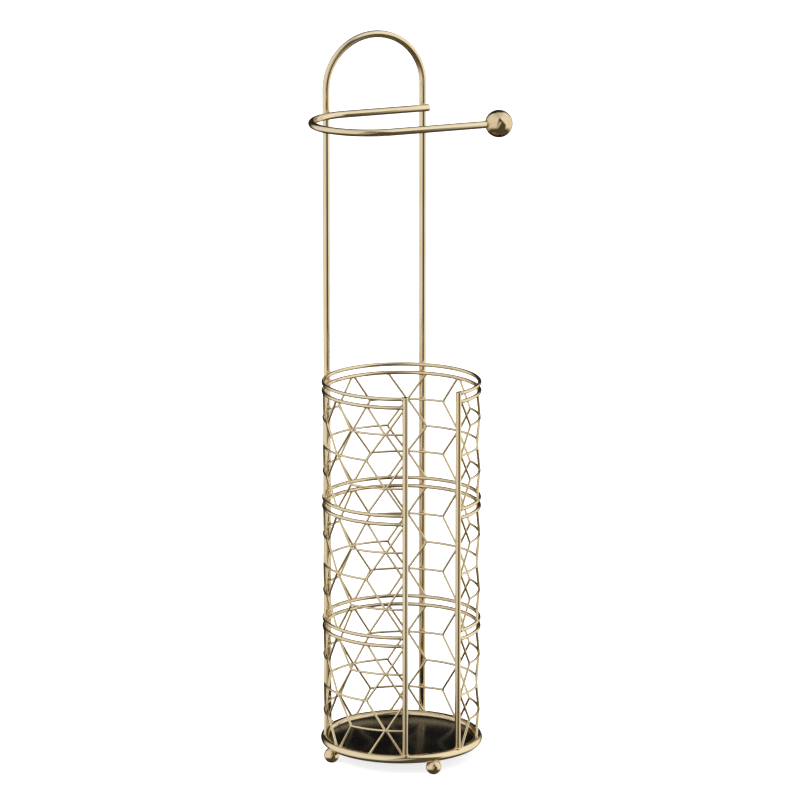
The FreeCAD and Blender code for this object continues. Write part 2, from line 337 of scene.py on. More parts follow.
class Wire:
    """One round wire, drawn out in edit mode run by run and bend by bend."""

    def __init__(self, start, heading, diameter, sides):
        clear_selection()
        self.sides = sides
        self.radius = diameter / 2
        self.tip = Vector(start)
        self.stations = [0.0]
        turn = Vector(heading).to_track_quat("Z", "Y").to_euler()
        bpy.ops.mesh.primitive_circle_add(
            vertices=sides, radius=self.radius, fill_type="NOTHING", location=start, rotation=turn
        )
        self.piece = begin_edit()

    def run_to(self, point):
        """Draw the wire out straight."""
        offset = Vector(point) - self.tip
        bpy.ops.mesh.extrude_region_move(TRANSFORM_OT_translate={"value": offset})
        self.stations.append(self.stations[-1] + offset.length)
        self.tip = Vector(point)

    def bend(self, centre, axis, angle, steps):
        """Draw the wire round a centre, right-handed about the axis. The spin operator turns left-handed."""
        bpy.ops.mesh.spin(steps=steps, angle=-angle, center=centre, axis=axis)
        arm = self.tip - Vector(centre)
        for _ in range(steps):
            self.stations.append(self.stations[-1] + arm.length * angle / steps)
        self.tip = Vector(centre) + Matrix.Rotation(angle, 3, Vector(axis)) @ arm

    def mark_line(self):
        """Keep each point's place round and along the wire, which the marks of drawing follow."""
        bpy.ops.object.mode_set(mode="OBJECT")
        line = self.piece.data.attributes.new("wire_line", "FLOAT_VECTOR", "POINT")
        for vertex, item in zip(self.piece.data.vertices, line.data):
            station, place = divmod(vertex.index, self.sides)
            turn = 2 * math.pi * place / self.sides
            item.vector = (
                self.radius * math.cos(turn), self.radius * math.sin(turn), self.stations[station]
            )
        bpy.ops.object.mode_set(mode="EDIT")

    def finish(self, rounding=0.0):
        """Close the ends, round them and return the piece."""
        self.mark_line()
        bpy.ops.mesh.select_all(action="SELECT")
        bpy.ops.mesh.fill_holes(sides=0)
        bpy.ops.mesh.normals_make_consistent(inside=False)
        if rounding:
            bpy.ops.mesh.select_mode(type="FACE")
            bpy.ops.mesh.select_all(action="DESELECT")
            bpy.ops.mesh.select_face_by_sides(number=self.sides, type="EQUAL", extend=False)
            bpy.ops.mesh.bevel(offset=rounding, segments=EDGE_SEGMENTS, affect="EDGES")
        bpy.ops.object.mode_set(mode="OBJECT")
        return self.piece

    def close(self):
        """Merge the two ends of a ring and return the piece."""
        bpy.ops.mesh.select_all(action="SELECT")
        bpy.ops.mesh.remove_doubles(threshold=MERGE_DISTANCE)
        bpy.ops.mesh.normals_make_consistent(inside=False)
        self.mark_line()
        bpy.ops.object.mode_set(mode="OBJECT")
        return self.piece


def bent_wire(points, diameter, radius, sides, steps):
    """A wire through the points with a bend at each inner one."""
    corners = bend_corners(points, radius)
    wire = Wire(corners[0], corners[1] - corners[0], diameter, sides)
    for before, corner, after in zip(corners, corners[1:], corners[2:]):
        arc = bend_at(before, corner, after, radius)
        wire.run_to(arc["enter"])
        wire.bend(arc["centre"], arc["axis"], arc["angle"], steps)
    wire.run_to(corners[-1])
    return wire.finish()


def ring_wire(radius, height, start, turn, diameter, sides, steps):
    """A level wire bent round the basket axis from a start azimuth."""
    foot = Vector((radius * math.cos(start), radius * math.sin(start), height))
    wire = Wire(foot, (-math.sin(start), math.cos(start), 0.0), diameter, sides)
    wire.bend((0.0, 0.0, height), (0.0, 0.0, 1.0), turn, steps)
    return wire


def feed(tree, socket, value):
    """Link a socket to a node's output, or set it to a plain value."""
    if isinstance(value, bpy.types.NodeSocket):
        tree.links.new(value, socket)
    else:
        socket.default_value = value


def worked(tree, operation, first, second=0.0):
    """Result of a math node on outputs and plain numbers."""
    node = tree.nodes.new("ShaderNodeMath")
    node.operation = operation
    feed(tree, node.inputs[0], first)
    feed(tree, node.inputs[1], second)
    return node.outputs["Value"]


def ranged(tree, value, start, end, low=0.0, high=1.0, easing="LINEAR"):
    """Map a stretch of a value to a range."""
    ramp = tree.nodes.new("ShaderNodeMapRange")
    ramp.interpolation_type = easing
    ramp.inputs["From Min"].default_value = start
    ramp.inputs["From Max"].default_value = end
    ramp.inputs["To Min"].default_value = low
    ramp.inputs["To Max"].default_value = high
    tree.links.new(value, ramp.inputs["Value"])
    return ramp.outputs["Result"]


def tinted(tree, factor, first, second):
    """Mix two colours by a factor."""
    mix = tree.nodes.new("ShaderNodeMix")
    mix.data_type = "RGBA"
    mix.inputs["A"].default_value = (*first, 1.0)
    mix.inputs["B"].default_value = (*second, 1.0)
    tree.links.new(factor, mix.inputs["Factor"])
    return mix.outputs["Result"]


def noise(tree, vector, scale, detail):
    """A noise texture on given coordinates."""
    texture = tree.nodes.new("ShaderNodeTexNoise")
    texture.inputs["Scale"].default_value = scale
    texture.inputs["Detail"].default_value = detail
    tree.links.new(vector, texture.inputs["Vector"])
    return texture.outputs["Fac"]


def spread(tree, fac, low, high, start=0.35, end=0.65):
    """Map the middle of a noise to a range."""
    return ranged(tree, fac, start, end, low, high)


def raised(tree, height, strength, distance, below=None):
    """A bump, on top of another one where there is one."""
    bump = tree.nodes.new("ShaderNodeBump")
    bump.inputs["Strength"].default_value = strength
    bump.inputs["Distance"].default_value = distance
    tree.links.new(height, bump.inputs["Height"])
    if below is not None:
        tree.links.new(below, bump.inputs["Normal"])
    return bump.outputs["Normal"]


def object_coordinates(tree):
    return tree.nodes.new("ShaderNodeTexCoord").outputs["Object"]


def drawn_lines(tree):
    """Coordinates that are fine round a wire and long along it."""
    line = tree.nodes.new("ShaderNodeAttribute")
    line.attribute_name = "wire_line"
    stretch = tree.nodes.new("ShaderNodeMapping")
    along = 0.02
    stretch.inputs["Scale"].default_value = (1.0, 1.0, along)
    tree.links.new(line.outputs["Vector"], stretch.inputs["Vector"])
    return stretch.outputs["Vector"]


def new_finish(name):
    """A new material, its node tree and its main shader."""
    material = bpy.data.materials.new(name)
    material.use_nodes = True
    return material, material.node_tree, material.node_tree.nodes["Principled BSDF"]


def plated(tree, shader, patches, first, second):
    """Gold plating in two tones."""
    tone = spread(tree, patches, low=0.0, high=1.0)
    tree.links.new(tinted(tree, tone, first, second), shader.inputs["Base Color"])
    shader.inputs["Metallic"].default_value = 1.0
    shader.inputs["Specular Tint"].default_value = (*colours().gold_edge, 1.0)


def drawn_gold():
    """Polished plating on drawn wire: soft tone changes, faint lines along it and a slight orange peel."""
    material, tree, shader = new_finish("drawn_gold")
    place = object_coordinates(tree)
    patches = noise(tree, place, scale=22.0, detail=3.0)
    plated(tree, shader, patches, colours().gold, colours().gold_warm)
    streaks = noise(tree, drawn_lines(tree), scale=2600.0, detail=2.0)
    tree.links.new(spread(tree, streaks, low=0.09, high=0.16), shader.inputs["Roughness"])
    peel = noise(tree, place, scale=420.0, detail=2.0)
    normal = raised(tree, peel, strength=0.1, distance=0.03 * MM)
    normal = raised(tree, streaks, strength=0.15, distance=0.01 * MM, below=normal)
    tree.links.new(normal, shader.inputs["Normal"])
    return material


def turned_gold_painted_shade():
    """Polished plating on solid balls, in tones painted darker than the wires' as painted shade: tone
    changes, faint haze and a slight orange peel.
    """
    material, tree, shader = new_finish("turned_gold_painted_shade")
    place = object_coordinates(tree)
    patches = noise(tree, place, scale=60.0, detail=3.0)
    # Painted shade: the deeper gold and the weld gold make the balls darker than the wires, for the shade and
    # dark reflections on the feet and the ball.
    plated(tree, shader, patches, colours().gold_warm, colours().gold_weld)
    haze = noise(tree, place, scale=240.0, detail=4.0)
    tree.links.new(spread(tree, haze, low=0.07, high=0.13), shader.inputs["Roughness"])
    peel = noise(tree, place, scale=380.0, detail=2.0)
    normal = raised(tree, peel, strength=0.1, distance=0.03 * MM)
    tree.links.new(normal, shader.inputs["Normal"])
    return material


def weld_gold():
    """Plated weld metal: duller, with ripples and a warm tint."""
    material, tree, shader = new_finish("weld_gold")
    place = object_coordinates(tree)
    patches = noise(tree, place, scale=300.0, detail=3.0)
    plated(tree, shader, patches, colours().gold_weld, colours().gold)
    tree.links.new(spread(tree, patches, low=0.18, high=0.32), shader.inputs["Roughness"])
    ripples = noise(tree, place, scale=1100.0, detail=3.0)
    normal = raised(tree, ripples, strength=0.4, distance=0.12 * MM)
    tree.links.new(normal, shader.inputs["Normal"])
    return material


def black_enamel():
    """Gloss enamel: near black, with thin haze, a slight orange peel and fine specks."""
    material, tree, shader = new_finish("black_enamel")
    place = object_coordinates(tree)
    haze = noise(tree, place, scale=45.0, detail=5.0)
    tone = spread(tree, haze, low=0.0, high=1.0, start=0.45, end=0.8)
    tree.links.new(tinted(tree, tone, colours().black, colours().black_dust), shader.inputs["Base Color"])
    specks = noise(tree, place, scale=900.0, detail=4.0)
    tree.links.new(spread(tree, specks, low=0.14, high=0.24), shader.inputs["Roughness"])
    peel = noise(tree, place, scale=480.0, detail=1.0)
    normal = raised(tree, peel, strength=0.2, distance=0.05 * MM)
    tree.links.new(normal, shader.inputs["Normal"])
    shader.inputs["Specular IOR Level"].default_value = 0.12
    return material


def finish_of(name):
    """A finish, made when it is first asked for."""
    makers = {
        "drawn_gold": drawn_gold, "turned_gold_painted_shade": turned_gold_painted_shade,
        "weld_gold": weld_gold, "black_enamel": black_enamel,
    }
    return bpy.data.materials.get(name) or makers[name]()


class BuildHoop(bpy.types.Operator):
    """Bend the tall hoop from one rod"""

    bl_idname = "holder.hoop"
    bl_label = "Hoop"

    def execute(self, context):
        low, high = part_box("upright_hoop")
        rod = sizes().hoop_rod
        span = (high.x - low.x - rod) / 2
        back = (low.y + high.y) / 2
        arch = high.z - rod / 2 - span
        wire = Wire((-span, back, low.z), (0.0, 0.0, 1.0), rod, ROD_SIDES)
        wire.run_to((-span, back, arch))
        wire.bend((0.0, back, arch), (0.0, 1.0, 0.0), math.pi, ROD_BEND_STEPS)
        wire.run_to((span, back, low.z))
        dress(wire.finish(sizes().end_round), "hoop", finish_of("drawn_gold"), "upright_hoop")
        return {"FINISHED"}


class BuildArm(bpy.types.Operator):
    """Bend the level arm as a hairpin, from the right upright to the ball"""

    bl_idname = "holder.arm"
    bl_label = "Arm"

    def execute(self, context):
        low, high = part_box("roll_arm")
        rod = sizes().arm_rod
        radius = (high.y - low.y - rod) / 2
        height = (low.z + high.z) / 2
        turn_x = low.x + rod / 2 + radius
        back = high.y - rod / 2
        front = low.y + rod / 2
        weld_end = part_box("upright_hoop")[1].x
        wire = Wire((weld_end, back, height), (-1.0, 0.0, 0.0), rod, ROD_SIDES)
        wire.run_to((turn_x, back, height))
        wire.bend((turn_x, (back + front) / 2, height), (0.0, 0.0, 1.0), math.pi, ROD_BEND_STEPS)
        wire.run_to((high.x, front, height))
        dress(wire.finish(sizes().end_round), "arm", finish_of("drawn_gold"), "roll_arm")
        return {"FINISHED"}


class BuildBall(bpy.types.Operator):
    """Turn the ball on the arm's end, with a chamfered hole for the arm"""

    bl_idname = "holder.ball"
    bl_label = "Ball"

    def execute(self, context):
        low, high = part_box("arm_end_ball")
        radius = (high.z - low.z) / 2
        centre = Vector((high.x - radius, (low.y + high.y) / 2, (low.z + high.z) / 2))
        bore = (sizes().arm_rod + sizes().bore_clearance) / 2
        ring_angle = math.pi / BALL_RINGS
        mouth = radius * math.sin(ring_angle * math.ceil(math.asin(bore / radius) / ring_angle))
        clear_selection()
        bpy.ops.mesh.primitive_uv_sphere_add(
            segments=BALL_SEGMENTS, ring_count=BALL_RINGS, radius=radius,
            location=centre, rotation=(0.0, math.pi / 2, 0.0),
        )
        ball = begin_edit()

        def over_mouth(point):
            from_axis = math.hypot(point.y - centre.y, point.z - centre.z)
            return point.x < centre.x and from_axis < mouth - MERGE_DISTANCE

        select_vertices(ball, over_mouth)
        bpy.ops.mesh.delete(type="VERT")
        bpy.ops.mesh.select_all(action="SELECT")
        bpy.ops.mesh.region_to_loop()
        lead = sizes().bore_lead
        bpy.ops.mesh.extrude_region_move(TRANSFORM_OT_translate={"value": (lead, 0.0, 0.0)})
        bpy.ops.transform.resize(value=(1.0, bore / mouth, bore / mouth), center_override=centre)
        depth = sizes().bore_depth - lead
        bpy.ops.mesh.extrude_region_move(TRANSFORM_OT_translate={"value": (depth, 0.0, 0.0)})
        bpy.ops.mesh.edge_face_add()
        bpy.ops.mesh.select_all(action="SELECT")
        bpy.ops.mesh.normals_make_consistent(inside=False)
        bpy.ops.object.mode_set(mode="OBJECT")
        dress(ball, "end_ball", finish_of("turned_gold_painted_shade"), "arm_end_ball")
        return {"FINISHED"}


def post_azimuth(side):
    """Azimuth of a slot post about the basket axis."""
    axis = middle(f"slot_post_{side}")
    return math.atan2(axis.y, axis.x)


def ring_radius():
    """Radius of the basket rings on their axis."""
    return extent("top_upper_ring").x / 2 - sizes().ring_wire / 2


def ring_turn():
    """Angle that an open ring covers, from the right post round the back to the left one."""
    return 2 * math.pi + post_azimuth("left") - post_azimuth("right")


def ring_nodes():
    """Names of the six basket rings."""
    return [f"{tier}_{place}_ring" for tier in TIERS for place in PLACES]


class BuildRings(bpy.types.Operator):
    """Bend one open ring and copy it to the six heights"""

    bl_idname = "holder.rings"
    bl_label = "Rings"

    def execute(self, context):
        first = middle("bottom_lower_ring").z
        wire = ring_wire(
            ring_radius(), first, post_azimuth("right"), ring_turn(),
            sizes().ring_wire, RING_SIDES, RING_STEPS,
        )
        pattern = wire.finish()
        for node in ring_nodes():
            lift = Matrix.Translation((0.0, 0.0, middle(node).z - first))
            dress(copied(pattern, lift), f"{node}_wire", finish_of("drawn_gold"), node)
        bpy.data.objects.remove(pattern)
        return {"FINISHED"}


class BuildPosts(bpy.types.Operator):
    """Draw the two posts that edge the slot"""

    bl_idname = "holder.posts"
    bl_label = "Posts"

    def execute(self, context):
        foot = middle("base_ring").z
        for side in SIDES:
            node = f"slot_post_{side}"
            axis = middle(node)
            wire = Wire((axis.x, axis.y, foot), (0.0, 0.0, 1.0), sizes().post_wire, POST_SIDES)
            wire.run_to((axis.x, axis.y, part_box(node)[1].z))
            dress(wire.finish(sizes().end_round), f"post_{side}", finish_of("drawn_gold"), node)
        return {"FINISHED"}


class BuildBaseRing(bpy.types.Operator):
    """Bend the closed base ring"""

    bl_idname = "holder.base_ring"
    bl_label = "Base ring"

    def execute(self, context):
        rod = sizes().base_rod
        radius = (extent("base_ring").x - rod) / 2
        height = middle("base_ring").z
        wire = ring_wire(radius, height, math.pi / 2, 2 * math.pi, rod, ROD_SIDES, BASE_STEPS)
        dress(wire.close(), "base_ring_rod", finish_of("drawn_gold"), "base_ring")
        return {"FINISHED"}


class BuildPlate(bpy.types.Operator):
    """Press the round floor plate"""

    bl_idname = "holder.plate"
    bl_label = "Plate"

    def execute(self, context):
        size = extent("base_plate")
        clear_selection()
        bpy.ops.mesh.primitive_cylinder_add(
            vertices=PLATE_SIDES, radius=size.x / 2, depth=size.z, location=middle("base_plate")
        )
        plate = begin_edit()
        bpy.ops.mesh.select_mode(type="FACE")
        bpy.ops.mesh.select_all(action="DESELECT")
        bpy.ops.mesh.select_face_by_sides(number=4, type="GREATER", extend=False)
        bpy.ops.mesh.bevel(offset=sizes().plate_round, segments=EDGE_SEGMENTS, affect="EDGES")
        bpy.ops.object.mode_set(mode="OBJECT")
        dress(plate, "floor_plate", finish_of("black_enamel"), "base_plate", slot=BLACK_SLOT)
        return {"FINISHED"}


class BuildFeet(bpy.types.Operator):
    """Turn one ball foot, grind it flat and copy it to the four sides"""

    bl_idname = "holder.feet"
    bl_label = "Feet"

    def execute(self, context):
        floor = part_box("foot_front")[0].z
        radius = extent("foot_front").x / 2
        axis = middle("foot_front")
        centre = (axis.x, axis.y, floor + radius - sizes().foot_flat)
        clear_selection()
        bpy.ops.mesh.primitive_uv_sphere_add(
            segments=FOOT_SEGMENTS, ring_count=FOOT_RINGS, radius=radius, location=centre
        )
        pattern = begin_edit()
        bpy.ops.mesh.bisect(
            plane_co=(0.0, 0.0, floor), plane_no=(0.0, 0.0, 1.0), use_fill=True, clear_inner=True
        )
        bpy.ops.mesh.bevel(offset=sizes().foot_round, segments=EDGE_SEGMENTS, affect="EDGES")
        bpy.ops.object.mode_set(mode="OBJECT")
        for side in FEET:
            node = f"foot_{side}"
            shift = middle(node) - axis
            move = Matrix.Translation((shift.x, shift.y, 0.0))
            dress(copied(pattern, move), f"{node}_ball", finish_of("turned_gold_painted_shade"), node)
        bpy.data.objects.remove(pattern)
        return {"FINISHED"}


class Lattice:
    """Zigzag wires and rungs of one tier, on the cylinder of the basket rings.

    Columns of star points are numbered from the right post. Even columns have stars at levels 0, 2 and 4
    and odd ones at levels 1 and 3. Two zigzags meet at each star, and rungs join those of neighbours.
    """

    def __init__(self, tier):
        below = BELOW[tier]
        self.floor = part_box(below)[1].z
        self.bottom = middle(below).z
        self.top = middle(f"{tier}_lower_ring").z
        self.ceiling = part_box(f"{tier}_lower_ring")[0].z
        self.radius = ring_radius()
        self.wire = sizes().lattice_wire
        self.levels = sizes().levels
        self.columns = sizes().column_steps
        self.first = post_azimuth("right")
        self.last_post = self.first + ring_turn()
        self.step = ring_turn() / (self.columns + sizes().corner_share)

    def height(self, level):
        return self.bottom + (self.top - self.bottom) * level / self.levels

    def point(self, azimuth, level):
        return Vector((
            self.radius * math.cos(azimuth), self.radius * math.sin(azimuth), self.height(level)
        ))

    def is_star(self, column, level):
        return (column + level) % 2 == 0

    def zigzags(self):
        """Column and side, -1 or 1, of each zigzag."""
        for column in range(self.columns):
            yield column, 1
            yield column + 1, -1

    def azimuth(self, column, side, level):
        """Where the axis of a zigzag passes a level."""
        offset = self.step * sizes().corner_share
        if self.is_star(column, level):
            clear = sizes().post_wire / 2 if column == 0 else 0.0
            offset = (clear + self.wire / 2) / self.radius
        return self.first + column * self.step + side * offset

    def azimuth_near(self, column, side, level, neighbour, height):
        """Where the axis of a zigzag passes a height between two levels."""
        along = (height - self.height(level)) / (self.height(neighbour) - self.height(level))
        start = self.azimuth(column, side, level)
        return start + along * (self.azimuth(column, side, neighbour) - start)

    def bent(self, points):
        return bent_wire(points, self.wire, sizes().lattice_bend, LATTICE_SIDES, LATTICE_BEND_STEPS)

    def zigzag(self, column, side):
        levels = range(self.levels + 1)
        return self.bent([self.point(self.azimuth(column, side, level), level) for level in levels])

    def rung(self, start, end, level):
        height = self.height(level)
        wire = ring_wire(self.radius, height, start, end - start, self.wire, LATTICE_SIDES, RUNG_STEPS)
        return wire.finish()

    def ladder(self, column):
        """Two zigzags of neighbouring columns and the rungs between them."""
        pieces = [self.zigzag(column, 1), self.zigzag(column + 1, -1)]
        for level in range(1, self.levels):
            start = self.azimuth(column, 1, level)
            pieces.append(self.rung(start, self.azimuth(column + 1, -1, level), level))
        return joined(pieces)

    def end_wires(self):
        """Bent wires and short rungs from the last column to the left post."""
        pieces = []
        for level in range(1, self.levels, 2):
            star = self.azimuth(self.columns, 1, level)
            points = [
                self.point(self.last_post, level - 1),
                self.point(star, level),
                self.point(self.last_post, level + 1),
            ]
            pieces.append(self.bent(points))
            pieces.append(self.rung(star, self.last_post, level))
        return joined(pieces)

    def ring_welds(self):
        """Azimuth and height of the spots where the zigzags stand on a ring or hang from one."""
        for column, side in self.zigzags():
            yield self.azimuth_near(column, side, 0, 1, self.floor), self.floor
            top = self.levels
            yield self.azimuth_near(column, side, top, top - 1, self.ceiling), self.ceiling

    def star_welds(self):
        """Azimuth and height of the spots where two zigzags meet between the rings."""
        for level in range(1, self.levels):
            for column in range(1, self.columns + 1):
                if self.is_star(column, level):
                    yield self.first + column * self.step, self.height(level)

    def corner_welds(self):
        """Azimuth and height of the spots where a zigzag meets a rung or the right post alone."""
        for level in range(1, self.levels):
            for column, side in self.zigzags():
                if column == 0 or not self.is_star(column, level):
                    yield self.azimuth(column, side, level), self.height(level)

    def weld_places(self):
        """Matrices of all welds of the tier."""
        for spots, size in (
            (self.ring_welds(), sizes().wire_foot_weld),
            (self.star_welds(), sizes().star_weld),
            (self.corner_welds(), sizes().corner_weld),
        ):
            for azimuth, height in spots:
                yield weld_place(self.radius, azimuth, height, size)


class BuildLattice(bpy.types.Operator):
    """Bend the first ladders of each tier and copy them round the basket"""

    bl_idname = "holder.lattice"
    bl_label = "Lattice"

    # The first ladder clears the right post, and the later ones repeat the second and third in turn.
    FIRST_COLUMNS = 3

    def execute(self, context):
        for tier in TIERS:
            lattice = Lattice(tier)
            patterns = {column: lattice.ladder(column) for column in range(self.FIRST_COLUMNS)}
            for column in range(lattice.columns):
                source = column if column in patterns else 1 + (column - 1) % 2
                turn = Matrix.Rotation((column - source) * lattice.step, 4, "Z")
                node = f"{tier}_ladder_{column + 1}"
                dress(copied(patterns[source], turn), f"{node}_wires", finish_of("drawn_gold"), node)
            for pattern in patterns.values():
                bpy.data.objects.remove(pattern)
            node = f"{tier}_end_wires"
            dress(lattice.end_wires(), f"{node}_bent", finish_of("drawn_gold"), node)
        return {"FINISHED"}


def weld_pattern():
    """A bead of weld metal, one unit in radius and slightly uneven."""
    clear_selection()
    bpy.ops.mesh.primitive_ico_sphere_add(subdivisions=2, radius=1.0)
    pattern = begin_edit()
    bpy.ops.transform.vertex_random(offset=0.08, uniform=0.5, normal=0.5, seed=3)
    bpy.ops.object.mode_set(mode="OBJECT")
    return pattern


def weld_place(radius, azimuth, height, size):
    """Matrix that sets a weld on a cylinder about the basket axis."""
    centre = Matrix.Translation((radius * math.cos(azimuth), radius * math.sin(azimuth), height))
    turn = Matrix.Rotation(azimuth + math.pi / 2, 4, "Z")
    return centre @ turn @ Matrix.Diagonal((*size, 1.0))


def post_weld_places():
    """Welds of the ring ends on the posts, and of the posts on the base ring."""
    inset = sizes().post_wire / 2 / ring_radius()
    base_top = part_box("base_ring")[1].z
    for side, towards_ring in (("left", -1), ("right", 1)):
        azimuth = post_azimuth(side)
        for node in ring_nodes():
            spot = azimuth + towards_ring * inset
            yield weld_place(ring_radius(), spot, middle(node).z, sizes().ring_end_weld)
        yield weld_place(ring_radius(), azimuth, base_top, sizes().post_foot_weld)


def hoop_axes():
    """Places of the two uprights of the hoop."""
    span = (extent("upright_hoop").x - sizes().hoop_rod) / 2
    back = middle("upright_hoop").y
    return [Vector((side * span, back)) for side in (-1, 1)]


def hoop_weld_places():
    """Welds of the rings on the uprights, and of the uprights on the base ring."""
    contact = ring_radius() + sizes().ring_wire / 2
    base_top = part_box("base_ring")[1].z
    for upright in hoop_axes():
        azimuth = math.atan2(upright.y, upright.x)
        for node in ring_nodes():
            yield weld_place(contact, azimuth, middle(node).z, sizes().hoop_weld)
        yield weld_place(contact, azimuth, base_top, sizes().hoop_foot_weld)


def foot_weld_places():
    """Welds of the ball feet under the base ring."""
    height = (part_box("foot_front")[1].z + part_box("base_ring")[0].z) / 2
    for side in FEET:
        axis = middle(f"foot_{side}")
        yield weld_place(math.hypot(axis.x, axis.y), math.atan2(axis.y, axis.x), height, sizes().foot_weld)


def arm_weld_place():
    """Weld of the arm on the right upright."""
    upright = hoop_axes()[1]
    spot = Matrix.Translation((upright.x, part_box("roll_arm")[1].y, middle("roll_arm").z))
    return spot @ Matrix.Diagonal((*sizes().arm_weld, 1.0))


class BuildWelds(bpy.types.Operator):
    """Set welds where the wires and rods join"""

    bl_idname = "holder.welds"
    bl_label = "Welds"

    def execute(self, context):
        pattern = weld_pattern()
        groups = {f"{tier}_lattice_welds": Lattice(tier).weld_places() for tier in TIERS}
        groups["post_welds"] = post_weld_places()
        groups["hoop_welds"] = hoop_weld_places()
        groups["foot_welds"] = foot_weld_places()
        groups["arm_weld"] = [arm_weld_place()]
        for name, places in groups.items():
            welds = [copied(pattern, place) for place in places]
            dress(joined(welds), name, finish_of("weld_gold"))
        bpy.data.objects.remove(pattern)
        return {"FINISHED"}


def camera_axes():
    """Directions from the object to the camera, to the camera's right and upwards in its picture."""
    turn = -stage().azimuth
    rise = stage().elevation
    back = Vector((math.sin(turn) * math.cos(rise), -math.cos(turn) * math.cos(rise), math.sin(rise)))
    right = Vector((math.cos(turn), math.sin(turn), 0.0))
    return back, right, back.cross(right)


def set_camera():
    """Camera at the photograph's viewing angle."""
    back, right, up = camera_axes()
    aim = Vector((0.0, 0.0, stage().aim_height)) - right * stage().aim_left + up * stage().aim_up
    clear_selection()
    bpy.ops.object.camera_add(
        location=aim + back * stage().distance, rotation=back.to_track_quat("Z", "Y").to_euler()
    )
    camera = bpy.context.object
    camera.name = "camera"
    camera.data.lens = stage().lens
    camera.data.sensor_width = 36.0
    camera.data.clip_end = 100.0
    bpy.context.scene.camera = camera


def ray_kind(tree, *kinds):
    """One where a ray is of a named kind."""
    path = tree.nodes.new("ShaderNodeLightPath")
    total = path.outputs[kinds[0]]
    for kind in kinds[1:]:
        total = worked(tree, "MAXIMUM", total, path.outputs[kind])
    return total


def pale_floor():
    """Pale floor whose lit colour is lifted to white for the camera and still holds a soft shadow."""
    material = bpy.data.materials.new("pale_floor")
    material.use_nodes = True
    tree = material.node_tree
    tree.nodes.clear()
    output = tree.nodes.new("ShaderNodeOutputMaterial")
    lit = tree.nodes.new("ShaderNodeBsdfDiffuse")
    lit.inputs["Color"].default_value = (*colours().floor, 1.0)
    white = tree.nodes.new("ShaderNodeEmission")
    seen = ray_kind(tree, "Is Camera Ray", "Is Glossy Ray", "Is Transmission Ray")
    tree.links.new(worked(tree, "MULTIPLY", seen, stage().floor_lift), white.inputs["Strength"])
    both = tree.nodes.new("ShaderNodeAddShader")
    tree.links.new(lit.outputs["BSDF"], both.inputs[0])
    tree.links.new(white.outputs["Emission"], both.inputs[1])
    tree.links.new(both.outputs["Shader"], output.inputs["Surface"])
    return material


def set_floor():
    """Round floor under the feet. The metal shows the studio's dark ground in its place."""
    clear_selection()
    bpy.ops.mesh.primitive_circle_add(
        vertices=FLOOR_SIDES, radius=stage().floor_radius, fill_type="NGON",
        location=(0.0, 0.0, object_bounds()[0][2]),
    )
    floor = bpy.context.object
    floor.name = "floor"
    floor.visible_glossy = False
    floor.data.materials.append(pale_floor())
    floor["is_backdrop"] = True


def add_lamp(name, place, size):
    """Large soft area lamp, aimed at the basket."""
    clear_selection()
    heading = Vector(place) - Vector((0.0, 0.0, stage().aim_height))
    bpy.ops.object.light_add(
        type="AREA", location=place, rotation=heading.to_track_quat("Z", "Y").to_euler()
    )
    lamp = bpy.context.object
    lamp.name = name
    lamp.visible_glossy = False
    lamp.data.shape = "SQUARE"
    lamp.data.size = size
    lamp.data.energy = stage().lamp_power


